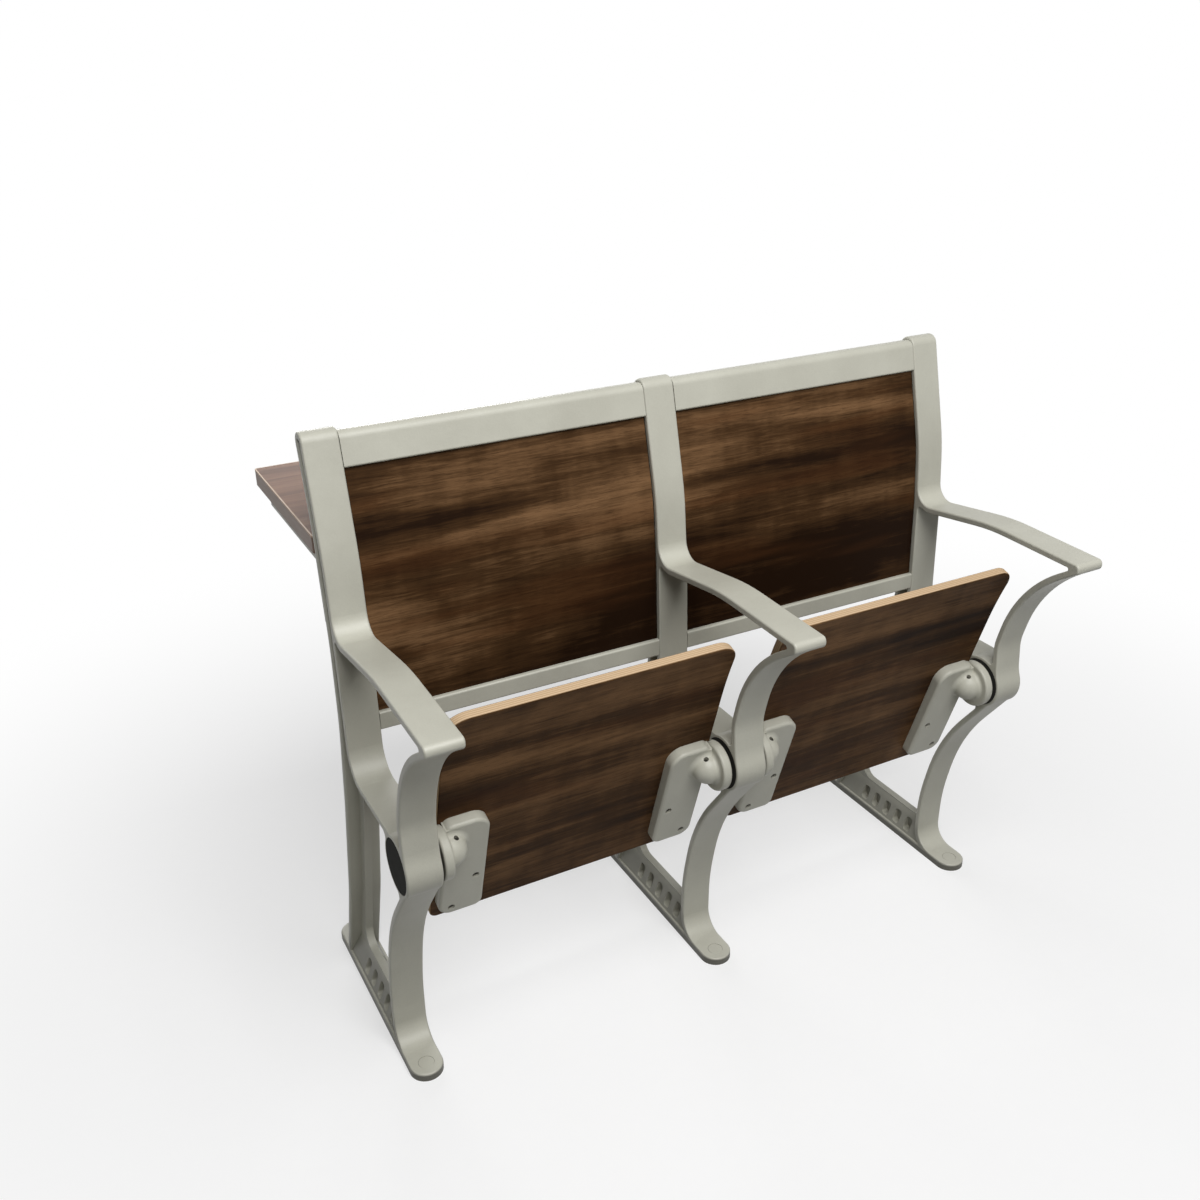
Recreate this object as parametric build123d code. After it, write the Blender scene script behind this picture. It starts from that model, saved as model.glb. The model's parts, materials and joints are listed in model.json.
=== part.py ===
"""Two-seat folding lecture bench: cast standards, framed backs, tip-up seats and a rear writing desk."""
from build123d import *
import os
from math import cos, degrees, radians, sin, tan

os.makedirs("parts", exist_ok=True)

# Driving dimensions in millimetres. X runs along the bench, the seats face -Y, Z is up from the floor.
PITCH = 500.0            # centre distance of neighbouring standards
BAND_WIDTH = 50.0        # width of the cast bands along X
BAND = 10.0              # thickness of the cast bands
WEB = 12.0               # thickness of the web between the bands
BASE = 13.0              # thickness of the floor strip
BASE_REAR_Y = 197.0      # rear end of the floor strip
BASE_FRONT_Y = -182.0    # front end of the floor strip
BASE_WEB_Z = 55.0        # top of the web that stands on the floor strip
BAND_ROUND = 3.0         # rounding of the outer band edges
WINDOW_ROUND = 1.5       # rounding of the band edges inside the windows
CORNER_ROUND = 7.0       # rounding where two bands run into each other
STRUT_BLEND = 60.0       # rounding where the strut's front runs into the hub

# Side profile of a standard as (y, z), along the outer faces of its bands.
TOP_Z = 915.0            # overall height
ARM_ROOT = (-11.0, 646.5)
BACK_RISE = TOP_Z - ARM_ROOT[1]
TOP_DEPTH = 33.0         # depth of the upright at its top
BEND_HEIGHT = 0.367      # back's bend, as a share of the rise above the armrest
BEND_RUN = 0.0335        # how far the bend lies behind the armrest's root, as a share of that rise
TOP_RUN = 0.1877         # how far the top lies behind it
TOP_FRONT = (ARM_ROOT[0] + TOP_RUN * BACK_RISE, TOP_Z)
TOP_REAR = (TOP_FRONT[0] + TOP_DEPTH, TOP_Z)
BACK_BEND = (ARM_ROOT[0] + BEND_RUN * BACK_RISE, ARM_ROOT[1] + BEND_HEIGHT * BACK_RISE)
BEND_DEPTH = 40.0        # rear face's bend behind the front one
BEND_STEP = 45.0         # rear face's bend above the front one
REAR_BEND = (BACK_BEND[0] + BEND_DEPTH, BACK_BEND[1] + BEND_STEP)
REAR_LINE = [(140.0, 5.0), (84.0, 170.0), (43.0, 350.0), (19.0, 500.0), (18.0, 620.0), REAR_BEND]
ARM_CREST = (-174.0, 669.0)
NOSE_TOP = (-352.0, 664.0)
NOSE_LOW = (-352.0, 651.0)
STRUT_BEND = (-254.0, 585.0)
STRUT_WAIST = (-225.0, 476.0)
STRUT_END = (-230.0, 420.0)
BEARER_ROOT = (-18.0, 438.0)
LEG_TOP = (-224.0, 372.0)
LEG_KNEE = (-129.0, 245.0)
LEG_ANKLE = (-99.0, 110.0)
LEG_SWEEP = 350.0        # radius of the front leg's long curves
FOOT_SWEEP = 32.0        # radius where the front leg turns into its foot
FOOT_OVERLAP = 20.0      # flat run of the leg band on the floor strip
LINE_SWEEP = 400.0       # radius of the gentle bends of the upright and the armrest
TOP_ROUND = 15.0         # radius over the top of the upright
ARM_ROOT_ROUND = 28.0    # radius between the upright and the armrest
NOSE_ROUND = 0.58 * (NOSE_TOP[1] - NOSE_LOW[1])
NOSE_CORNER = 3.0        # rounding in the loop's corner behind the nose
STRUT_SWEEP = 220.0      # radius of the strut behind the nose
WAIST_SWEEP = 70.0       # radius of the strut's waist
BEARER_ROUND = 38.0      # radius between the upright and the seat bearer
REAR_LEG_WEB = 33.0      # depth of the rear leg with its web
LEG_WEB_Z = 340.0        # height where that web starts to widen up to the bearer
LEG_GUSSET = 26.0        # web in the corner behind the front leg
WEB_ROUND = 24.0         # radius of the web's corners
GUSSET_LEDGE = 3.5       # ledge of the floor strip beside the sloping sides of its web
GUSSET_TOE = 11.0        # how far those sides run into the foot's curve
GUSSET_SINK = 1.0        # how far they run into the floor strip and into the web's top
BASE_POCKETS = 5         # cast pockets along each sloping side
POCKET_PITCH = 30.0
POCKET_WIDTH = 16.0
POCKET_HEIGHT = 24.0
POCKET_RISE = 16.0       # middle of a pocket above the floor strip
ANCHOR_R = 5.5           # floor anchor hole
ANCHOR_INSET = 24.0      # anchor hole from the end of the floor strip
PLUG_R = 12.0            # cover plug over an anchor hole
PLUG_DEPTH = 5.0
PLUG_BEVEL = 0.6
FIT = 0.05               # radial clearance of parts that are fixed in each other
SEATED = 0.2             # clearance of parts that are pushed together by hand

# Hub of the tip-up seat: a chamber in each side of the boss, parted by a wall.
HUB_Y = -194.0
HUB_Z = 399.0
HUB_R = 43.0
HUB_WALL = 6.0
CHAMBER_R = 30.0
RECESS_R = 39.0
RECESS = 3.0
AXLE_R = 10.0
RUNNING = 0.06           # radial running clearance of the axle
BUSH_BODY = 3.0          # bush behind its flange
THRUST_R = 25.0          # thrust collar between bush and bracket
THRUST = 4.0
THRUST_GAP = 0.4
SPRING_WIRE_R = 1.2
SPRING_R = 14.0          # mean radius of the return spring
SPRING_PITCH = 2.9
SPRING_HALF_TURNS = 4
SPRING_GAP = 0.3
DOG_R = 26.0             # stop dog on the end of the axle
DOG_HALF = 18.0          # half of the dog's angle, degrees
DOG_LENGTH = 6.0
BUFFER_ANGLE = 30.0
BUFFER_GAP = 0.7         # degrees between the dog and a buffer at the end of travel
BUFFER_IN = 15.0
SEAT_TRAVEL = 68.0       # degrees from tipped up to ready for use
CAP_SKIRT = 4.0
CAP_BEVEL = 0.8

# Tip-up seat, in its own frame: x along the bench, y up the board, z out of its underside, hub axis at zero.
SEAT_LEAN = 17.9         # degrees that the tipped-up seat leans forward
SEAT_SIDE_GAP = 13.0     # between a seat's side and the standard
SEAT_WIDTH = PITCH - BAND_WIDTH - 2 * SEAT_SIDE_GAP
SEAT_FRONT = 232.0       # hub axis to the free edge
SEAT_REAR = 183.0        # hub axis to the rear edge
SEAT_BOARD = 14.0
SEAT_DROP = 22.5         # hub axis to the board's underside
SEAT_BEND = 750.0        # radius of the board's bend towards its free edge
SEAT_BEND_START = 120.0  # hub axis to the start of that bend
SEAT_CORNER = 32.0
SEAT_REAR_CORNER = 12.0
SEAT_EDGE = 2.5
PLATE = 17.0             # bracket plate
PLATE_INSET = 6.0        # plate inside the seat's side
PLATE_WIDTH = 66.0
PLATE_TOP = 37.0
PLATE_LOW = 161.0
PLATE_ROUND = 13.0
PLATE_FOOT_ROUND = 20.0  # lower outer corner
PLATE_HEAD_ROUND = 24.0  # upper inner corner
PLATE_EDGE = 5.0         # rounding of the plate's front edges
BARREL_R = 24.0
BARREL_FAIRING = 8.0     # hollow rounding between the barrel and the plate
BARREL_COVE = 5.0        # hollow rounding between the barrel and the flange
FLANGE_R = 37.5
FLANGE_ROUND = 3.5
FLANGE_LIP = 7.5         # flange in front of the seat board
FLANGE_GAP = 1.5         # between the seat board's side and the flange
AXLE_IN_BARREL = 26.0
SCREW_SPOTS = [(57.0, -86.0), (24.0, -145.0)]   # from the seat's side, and up the board
SCREW_HEAD_R = 5.0
SCREW_HEAD = 3.0
SCREW_SINK = 3.0
SCREW_R = 2.2
SCREW_BITE = 10.0
DRIVE_R = 1.6            # socket in the screw heads
DRIVE = 1.6
GRUB_R = 3.5
GRUB_INSET = 19.0        # set screw from the seat's side
GRUB_ANGLE = 86.0        # set screw above the underside's normal, degrees
GRUB_SINK = 6.0

# Backs: a hollow top rail and bottom rail that hold a bent plywood panel.
RAIL_TOP_GAP = 1.5       # top of the rail below the top of the standards
TOP_RAIL = 49.5          # height of the top rail
TOP_RAIL_DEPTH = 30.0
TOP_RAIL_ROUND = 12.0    # front top edge
TOP_RAIL_REAR_ROUND = 6.0
LOW_RAIL = 28.0
LOW_RAIL_Z = 494.0
LOW_RAIL_DEPTH = 26.0
RAIL_ROUND = 3.0
RAIL_WALL = 3.5
RAIL_GAP = 0.4           # end of a rail to the standard
RAIL_SETBACK = 0.8       # rail behind the standard's front face
PANEL = 12.0
PANEL_RECESS = 7.0       # panel behind the standard's front face
PANEL_BITE = 8.0         # panel inside each rail
PANEL_EDGE_GAP = 1.5     # panel to the standard
LUG_LENGTH = 30.0        # cast lug inside a rail
RAIL_SCREW_R = 2.1
RAIL_SCREW_HEAD_R = 4.5
RAIL_SCREW_HEAD = 2.6
RAIL_SCREW_BITE = 10.0

# Writing desk behind the backs.
DESK_Z = 776.0           # working height
DESK = 25.0              # board thickness
DESK_DEPTH = 312.0
DESK_GAP = 3.6           # between the upright and the desk
DESK_EDGE = 2.0          # edge band
DESK_CORNER = 5.0
ARM_WIDTH = 46.0
ARM_PLATE = 8.0
ARM_RIB = 8.0
ARM_DROP = 96.0          # arm below the desk's underside
ARM_REACH = 250.0
ARM_TIP = 22.0
ARM_ELBOW = 14.0         # rib below the tip's depth at the elbow
ARM_SWEEP = 50.0         # radius of the rib's underside
ARM_BOLT_R = 4.0
ARM_BOLT_X = 15.0
ARM_BOLT_UP = 35.0       # bolts above the arm's lower end
ARM_BOLT_HEAD_R = 7.0
ARM_BOLT_HEAD = 4.0
ARM_BOLT_SOCKET_R = 2.8
ARM_NUT_R = 7.2
ARM_NUT = 6.0
ARM_BOLT_TAIL = 3.0
DESK_SCREW_X = 14.0
DESK_SCREW_PITCH = 150.0
DESK_SCREW_FIRST = 60.0

HALF = BAND_WIDTH / 2
SEAT_CENTRES = {"left": -PITCH / 2, "right": PITCH / 2}
STANDARDS = {"left": -PITCH, "middle": 0.0, "right": PITCH}
UPRIGHT_FRONT = [TOP_FRONT, BACK_BEND, ARM_ROOT, BEARER_ROOT]


def write(name, *solids):
    """Writes a node as one STEP file of separate solids."""
    pieces = [piece for solid in solids for piece in solid.solids()]
    for piece in pieces:
        piece.label = name
    whole = pieces[0] if len(pieces) == 1 else Compound(label=name, children=pieces)
    export_step(whole, f"parts/{name}.step")


def band(points, radii, thickness):
    """A strip of the given thickness on the left of a line of tangent arcs."""
    line = FilletPolyline(*points, radius=radii)
    return make_face(offset(line, amount=thickness, side=Side.LEFT, closed=True).wire())


def sharp_corners(face):
    """Vertices of a face where its outline isn't smooth."""
    found = []
    for vertex in face.vertices():
        spot = Vector(vertex)
        ways = []
        for edge in face.edges():
            for end in (0, 1):
                if (edge.position_at(end) - spot).length < 1e-4:
                    ways.append(edge.tangent_at(end) * (1 if end == 0 else -1))
        if len(ways) == 2 and abs(180 - ways[0].get_angle(ways[1])) > 4:
            found.append(vertex)
    return found


def sector(inner, outer, start, angle):
    """A ring sector about the origin, angles in degrees."""
    ring = Circle(outer) - Circle(inner)
    reach = 2 * outer
    spread = reach * tan(radians(angle / 2))
    wedge = Polygon((0, 0), (reach, -spread), (reach, spread), align=None)
    return ring & (Rot(0, 0, start + angle / 2) * wedge)


def across(face, width):
    """Extrudes a (y, z) face by a width along X, centred on X = 0."""
    return extrude(Plane.YZ * face, amount=width / 2, both=True)


def x_cylinder(radius, start, end, y=0.0, z=0.0):
    """A cylinder along X from start to end."""
    low, high = min(start, end), max(start, end)
    return extrude(Plane((low, y, z), z_dir=(1, 0, 0)) * Circle(radius), amount=high - low)


def front_y(z):
    """Y of the upright's front face at a height."""
    for (y0, z0), (y1, z1) in zip(UPRIGHT_FRONT, UPRIGHT_FRONT[1:]):
        if z >= z1:
            return y0 + (y1 - y0) * (z - z0) / (z1 - z0)
    return BEARER_ROOT[0]


def rear_y(z):
    """Y of the upright's rear face at a height."""
    line = [*REAR_LINE, TOP_REAR]
    for (y0, z0), (y1, z1) in zip(line, line[1:]):
        if z <= z1:
            return y0 + (y1 - y0) * (z - z0) / (z1 - z0)
    return TOP_REAR[0]


# Frames of the rails on the upright's front face: local x to the rear, local y up along the face.
BACK_TILT = Vector(TOP_FRONT[0] - BACK_BEND[0], TOP_FRONT[1] - BACK_BEND[1]).get_angle(Vector(0, 1))
TOP_FRAME = Pos(*TOP_FRONT) * Rot(0, 0, -BACK_TILT)
LOW_FRAME = Pos(front_y(LOW_RAIL_Z), LOW_RAIL_Z)


def rail_box(low, height, depth, inset):
    """Rectangle behind the front face, from low to low + height, drawn in by inset."""
    box = Rectangle(depth - 2 * inset, height - 2 * inset)
    if low < 0:
        box = fillet(box.vertices().group_by(Axis.Y)[-1].sort_by(Axis.X)[0], TOP_RAIL_ROUND - inset)
        box = fillet(box.vertices().group_by(Axis.Y)[-1].sort_by(Axis.X)[-1], TOP_RAIL_REAR_ROUND - inset)
    return Pos(RAIL_SETBACK + depth / 2, low + height / 2) * box


TOP_RAIL_LOW = -RAIL_TOP_GAP - TOP_RAIL
TOP_HOLLOW_LOW = TOP_RAIL_LOW + PANEL_BITE
LOW_HOLLOW = LOW_RAIL - PANEL_BITE
top_hollow = rail_box(TOP_HOLLOW_LOW, TOP_RAIL - PANEL_BITE, TOP_RAIL_DEPTH, RAIL_WALL)
low_hollow = rail_box(0, LOW_HOLLOW, LOW_RAIL_DEPTH, RAIL_WALL)
top_lug = rail_box(TOP_HOLLOW_LOW, TOP_RAIL - PANEL_BITE, TOP_RAIL_DEPTH, RAIL_WALL + SEATED)
low_lug = rail_box(0, LOW_HOLLOW, LOW_RAIL_DEPTH, RAIL_WALL + SEATED)
TOP_SCREW = TOP_FRAME * Pos(RAIL_SETBACK + TOP_RAIL_DEPTH, TOP_HOLLOW_LOW + (TOP_RAIL - PANEL_BITE) / 2)
LOW_SCREW = LOW_FRAME * Pos(RAIL_SETBACK + LOW_RAIL_DEPTH, LOW_HOLLOW / 2)
PANEL_TOP_Z = (TOP_FRAME * Pos(PANEL_RECESS + PANEL / 2, TOP_HOLLOW_LOW)).position.Y
PANEL_LOW_Z = LOW_RAIL_Z + LOW_HOLLOW


def rail_screw_place(frame_2d, x):
    """Frame on a rail's rear face at x, with local z pointing to the rear."""
    spot = frame_2d.position
    turn = radians(frame_2d.orientation.Z)
    return Plane((x, spot.X, spot.Y), x_dir=(1, 0, 0), z_dir=(0, cos(turn), sin(turn)))


def rail_screw_hole(frame_2d, x):
    """Hole through a rail's rear wall into the lug."""
    deep = RAIL_WALL + SEATED + RAIL_SCREW_BITE
    return extrude(rail_screw_place(frame_2d, x) * Circle(RAIL_SCREW_R + FIT), amount=-deep)


def rail_screw(frame_2d, x):
    """Pan-head screw with a socket."""
    place = rail_screw_place(frame_2d, x)
    head = extrude(place * Circle(RAIL_SCREW_HEAD_R), amount=RAIL_SCREW_HEAD)
    head = fillet(head.edges().group_by(Axis.Y)[-1], RAIL_SCREW_HEAD / 3)
    shank = extrude(place * Circle(RAIL_SCREW_R), amount=-(RAIL_WALL + RAIL_SCREW_BITE))
    drive = extrude(place.offset(RAIL_SCREW_HEAD) * RegularPolygon(DRIVE_R, 6), amount=-DRIVE)
    return head + shank - drive


def rail_screw_xs(standard_x, bays):
    """X of the rail screws beside a standard, one for each bay."""
    return [standard_x + bay * (HALF + LUG_LENGTH / 2) for bay in bays]


# The cast standard.
def corner_round(spot):
    """Rounding of the outline at one of its corners."""
    if (spot - Vector(*STRUT_END)).length < BAND:
        return STRUT_BLEND
    return NOSE_CORNER if (spot - Vector(*NOSE_LOW)).length < 2 * BAND else CORNER_ROUND


def band_frame():
    """The full-width bands and the hub boss of a standard."""
    frame_line = [*REAR_LINE, TOP_REAR, TOP_FRONT, BACK_BEND, ARM_ROOT, ARM_CREST]
    frame_line += [NOSE_TOP, NOSE_LOW, STRUT_BEND, STRUT_WAIST, STRUT_END]
    sweeps = [LINE_SWEEP] * (len(REAR_LINE) - 1) + [TOP_ROUND, TOP_ROUND, LINE_SWEEP, ARM_ROOT_ROUND]
    sweeps += [LINE_SWEEP, NOSE_ROUND, NOSE_ROUND, STRUT_SWEEP, WAIST_SWEEP]
    frame = band(frame_line, sweeps, BAND)
    over_arm = ARM_ROOT[1] + 1.1 * ARM_ROOT_ROUND
    bearer_line = [(front_y(over_arm), over_arm), ARM_ROOT, BEARER_ROOT, (HUB_Y, BEARER_ROOT[1])]
    bearer = band(bearer_line, [LINE_SWEEP, BEARER_ROUND], BAND)
    foot_top = (LEG_ANKLE[0], BASE)
    foot_end = (LEG_ANKLE[0] - FOOT_SWEEP - FOOT_OVERLAP, BASE)
    leg = band([LEG_TOP, LEG_KNEE, LEG_ANKLE, foot_top, foot_end], [LEG_SWEEP, LEG_SWEEP, FOOT_SWEEP], BAND)
    outline = (frame + bearer + leg + Pos(HUB_Y, HUB_Z) * Circle(HUB_R)).face()
    for corner in [v for v in sharp_corners(outline) if v.Y > BASE + CORNER_ROUND]:
        spot = Vector(corner)
        near = [v for v in outline.vertices() if (Vector(v) - spot).length < 1e-3]
        outline = outline.fillet_2d(corner_round(spot), near)
    body = across(outline, BAND_WIDTH)
    sides = body.faces().filter_by(Axis.X).sort_by(SortBy.AREA)[-2:]
    outer = [edge for side in sides for edge in side.outer_wire().edges()]
    body = fillet(outer, BAND_ROUND)
    sides = body.faces().filter_by(Axis.X).sort_by(SortBy.AREA)[-2:]
    inner = [edge for side in sides for wire in side.inner_wires() for edge in wire.edges()]
    return fillet(inner, WINDOW_ROUND)


def web_plate():
    """The web in the upright, the rear leg and the base."""
    mid = BAND / 2
    leg_y = LEG_ANKLE[0] + mid
    low_web = (rear_y(BASE_WEB_Z) - REAR_LEG_WEB, BASE_WEB_Z)
    points = [(y - mid, z) for y, z in REAR_LINE]
    points += [(TOP_REAR[0] - TOP_ROUND, TOP_REAR[1] - mid), (TOP_FRONT[0] + mid, TOP_FRONT[1] - mid)]
    points += [(y + mid, z) for y, z in (BACK_BEND, ARM_ROOT, BEARER_ROOT)]
    points += [(rear_y(LEG_WEB_Z) - REAR_LEG_WEB, LEG_WEB_Z), low_web]
    points += [(leg_y + mid + LEG_GUSSET / 2, BASE_WEB_Z), (leg_y, BASE_WEB_Z + LEG_GUSSET)]
    points += [(leg_y, REAR_LINE[0][1])]
    face = make_face(Polyline(*points, close=True).edges()).face()
    rounded = [v for v in face.vertices() if abs(v.Y - BASE_WEB_Z) < 1e-6]
    return across(face.fillet_2d(WEB_ROUND, rounded), WEB)


def base_gussets():
    """The sloping sides between the floor strip and its web, with their pockets."""
    mid = BAND / 2
    leg_y = LEG_ANKLE[0] + mid
    low, high = BASE - GUSSET_SINK, BASE_WEB_Z - GUSSET_SINK
    side_view = [(leg_y - GUSSET_TOE, low), (rear_y(low) - mid, low)]
    side_view += [(rear_y(high) - mid, high), (leg_y, high)]
    wide, narrow = HALF - GUSSET_LEDGE, WEB / 2 - GUSSET_SINK
    end_view = [(-wide, low), (wide, low), (narrow, high), (-narrow, high)]
    block = across(make_face(Polyline(*side_view, close=True).edges()), BAND_WIDTH)
    slope = Plane.XZ * make_face(Polyline(*end_view, close=True).edges())
    block &= extrude(slope, amount=BASE_REAR_Y - BASE_FRONT_Y, both=True)
    middle_y = (rear_y(BASE_WEB_Z) - REAR_LEG_WEB + leg_y) / 2
    pocket = RectangleRounded(POCKET_WIDTH, POCKET_HEIGHT, POCKET_WIDTH / 3)
    for spot in range(BASE_POCKETS):
        y = middle_y + (spot - (BASE_POCKETS - 1) / 2) * POCKET_PITCH
        at = Pos(y, BASE + POCKET_RISE)
        for side in (-1, 1):
            wall = Plane((side * WEB / 2, 0, 0), x_dir=(0, 1, 0), z_dir=(1, 0, 0))
            block -= extrude(wall * (at * pocket), amount=side * HALF)
    return block


def floor_strip():
    """The round-ended strip that stands on the floor."""
    slot = SlotOverall(BASE_REAR_Y - BASE_FRONT_Y, BAND_WIDTH, rotation=90)
    strip = extrude(Pos(0, (BASE_REAR_Y + BASE_FRONT_Y) / 2) * slot, amount=BASE)
    return fillet(strip.edges().group_by(Axis.Z)[-1], BAND_ROUND)


DESK_LOW = DESK_Z - DESK
DESK_FRONT_Y = rear_y(DESK_Z) + DESK_GAP
ARM_LOW_Z = DESK_LOW - ARM_DROP
ARM_BOLT_Z = ARM_LOW_Z + ARM_BOLT_UP
ANCHOR_YS = (BASE_FRONT_Y + ANCHOR_INSET, BASE_REAR_Y - ANCHOR_INSET)
ARM_TILT = Vector(rear_y(DESK_Z) - rear_y(ARM_LOW_Z), DESK_Z - ARM_LOW_Z).get_angle(Vector(0, 1))
ARM_BOLT = Pos(rear_y(ARM_BOLT_Z), ARM_BOLT_Z) * Rot(0, 0, -ARM_TILT)


def bolt_hole(x):
    """Hole for a desk arm bolt through the arm and the standard's rear flange."""
    place = rail_screw_place(ARM_BOLT, x)
    return extrude(place * Circle(ARM_BOLT_R + FIT), amount=BAND + ARM_PLATE, both=True)


def bare_standard():
    """A standard without the lugs for the backs."""
    body = band_frame() + floor_strip() + web_plate() + base_gussets()
    for side in (-1, 1):
        body -= x_cylinder(RECESS_R, side * (HALF - RECESS), side * HALF, HUB_Y, HUB_Z)
        body -= x_cylinder(CHAMBER_R, side * HUB_WALL / 2, side * HALF, HUB_Y, HUB_Z)
        body -= bolt_hole(side * ARM_BOLT_X)
    for y in ANCHOR_YS:
        body -= extrude(Pos(0, y) * Circle(ANCHOR_R), amount=BASE)
        body -= extrude(Plane((0, y, BASE)) * Circle(PLUG_R), amount=-PLUG_DEPTH)
    return body


def with_lugs(body, bays):
    """Adds the lugs that carry the backs on the given sides, -1, +1 or both."""
    reach = HALF + RAIL_GAP + LUG_LENGTH
    for bay in bays:
        for lug, place, screw in ((top_lug, TOP_FRAME, TOP_SCREW), (low_lug, LOW_FRAME, LOW_SCREW)):
            solid = extrude(Plane.YZ * (place * lug), amount=bay * reach)
            body += solid
            for x in rail_screw_xs(0, [bay]):
                body -= rail_screw_hole(screw, x)
    return body


plain = bare_standard()
BAYS = {"left": [1], "middle": [-1, 1], "right": [-1]}
for name, x in STANDARDS.items():
    write(f"{name}_standard", Pos(x) * with_lugs(plain, BAYS[name]))

plug = extrude(Circle(PLUG_R - FIT), amount=PLUG_DEPTH)
plug = chamfer(plug.edges().group_by(Axis.Z)[-1], PLUG_BEVEL)
plug_z = BASE - PLUG_DEPTH
write("foot_plugs", *[Pos(x, y, plug_z) * plug for x in STANDARDS.values() for y in ANCHOR_YS])

# Hub: caps on the outer sides, and bush, spring and buffers on the seat sides.
cap = x_cylinder(RECESS_R - SEATED, 0, -RECESS)
cap += x_cylinder(CHAMBER_R - SEATED, -RECESS, -RECESS - CAP_SKIRT)
cap = chamfer(cap.edges().group_by(Axis.X)[-1], CAP_BEVEL)
hub_pos = Pos(0, HUB_Y, HUB_Z)
write("right_hub_cap", Pos(PITCH + HALF) * hub_pos * cap)
write("left_hub_cap", Pos(-PITCH - HALF) * hub_pos * Rot(0, 0, 180) * cap)

SPRING_START = RECESS + BUSH_BODY + SPRING_GAP
SPRING_RISE = SPRING_PITCH * SPRING_HALF_TURNS / 2
DOG_START = SPRING_START + 2 * SPRING_WIRE_R + SPRING_RISE + SPRING_GAP
BUFFER_END = HALF - HUB_WALL / 2 - SEATED
DOG_REST = 270.0 - SEAT_TRAVEL / 2

bush = x_cylinder(RECESS_R - SEATED, 0, -RECESS)
bush += x_cylinder(CHAMBER_R - SEATED, -RECESS, -RECESS - BUSH_BODY)
bush += x_cylinder(THRUST_R, 0, THRUST)
bush -= x_cylinder(AXLE_R + RUNNING, -RECESS - BUSH_BODY, THRUST)
coil = Helix(SPRING_PITCH, SPRING_RISE, SPRING_R)
spring = sweep(Plane(origin=coil @ 0, z_dir=coil % 0) * Circle(SPRING_WIRE_R), path=coil)
spring = Pos(-SPRING_START - SPRING_WIRE_R) * Rot(0, -90, 0) * spring
HUB_SIDE = Plane((0, 0, 0), x_dir=(0, 1, 0), z_dir=(1, 0, 0))


def hub_slice(face, start, end):
    """A (y, z) face about the hub axis, extruded from start to end along X."""
    return extrude(HUB_SIDE.offset(start) * face, amount=end - start)


low_stop = DOG_REST - DOG_HALF - BUFFER_GAP - BUFFER_ANGLE
high_stop = DOG_REST + SEAT_TRAVEL + DOG_HALF + BUFFER_GAP
up_buffer = sector(BUFFER_IN, CHAMBER_R - SEATED, low_stop, BUFFER_ANGLE)
down_buffer = sector(BUFFER_IN, CHAMBER_R - SEATED, high_stop, BUFFER_ANGLE)
dog = sector(AXLE_R - 1, DOG_R, DOG_REST - DOG_HALF, 2 * DOG_HALF)

# Tip-up seat in its own frame, with its outer side at SEAT_WIDTH / 2.
SIDE = SEAT_WIDTH / 2
UNDER = -SEAT_DROP
PLATE_FACE = UNDER + PLATE
FLANGE_IN = SIDE + FLANGE_GAP
FLANGE_OUT = PITCH / 2 - HALF - THRUST - THRUST_GAP
LIP_IN = FLANGE_IN - FLANGE_LIP
GRUB_X = SIDE - GRUB_INSET


def seat_board():
    """Plywood board with rounded corners and pilot holes."""
    outline = Pos(0, (SEAT_FRONT - SEAT_REAR) / 2) * Rectangle(SEAT_WIDTH, SEAT_FRONT + SEAT_REAR)
    outline = fillet(outline.vertices().group_by(Axis.Y)[-1], SEAT_CORNER)
    outline = fillet(outline.vertices().group_by(Axis.Y)[0], SEAT_REAR_CORNER)
    outline = Plane.XY.offset(UNDER - 2 * SEAT_BOARD) * outline
    flat = Line((-SEAT_REAR - 1, UNDER), (SEAT_BEND_START, UNDER))
    bend_centre = (SEAT_BEND_START, UNDER + SEAT_BEND)
    sweep_angle = degrees((SEAT_FRONT + 1 - SEAT_BEND_START) / SEAT_BEND)
    bent = CenterArc(bend_centre, SEAT_BEND, -90, sweep_angle)
    profile = offset(Wire([flat, bent]), amount=SEAT_BOARD, side=Side.RIGHT, closed=True)
    board = across(make_face(profile.wire()).face(), SEAT_WIDTH) & extrude(outline, amount=4 * SEAT_BOARD)
    skins = [face for face in board.faces() if abs(face.normal_at().Z) > 0.9]
    sides = [face for face in board.faces() if abs(face.normal_at().Z) < 0.1]
    skin_edges = [edge for face in skins for edge in face.edges()]
    side_edges = [edge for face in sides for edge in face.edges()]
    rim = [edge for edge in side_edges if any(edge.is_same(other) for other in skin_edges)]
    board = fillet(rim, SEAT_EDGE)
    for inset, y in SCREW_SPOTS:
        for side in (-1, 1):
            spot = Plane((side * (SIDE - inset), y, UNDER))
            board -= extrude(spot * Circle(SCREW_R + FIT), amount=-SCREW_BITE)
    return board


def grub_frame():
    """Frame on the axle's surface with z out along the set screw."""
    turn = radians(GRUB_ANGLE)
    way = (0, sin(turn), cos(turn))
    return Plane((GRUB_X, AXLE_R * way[1], AXLE_R * way[2]), x_dir=(1, 0, 0), z_dir=way)


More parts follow.
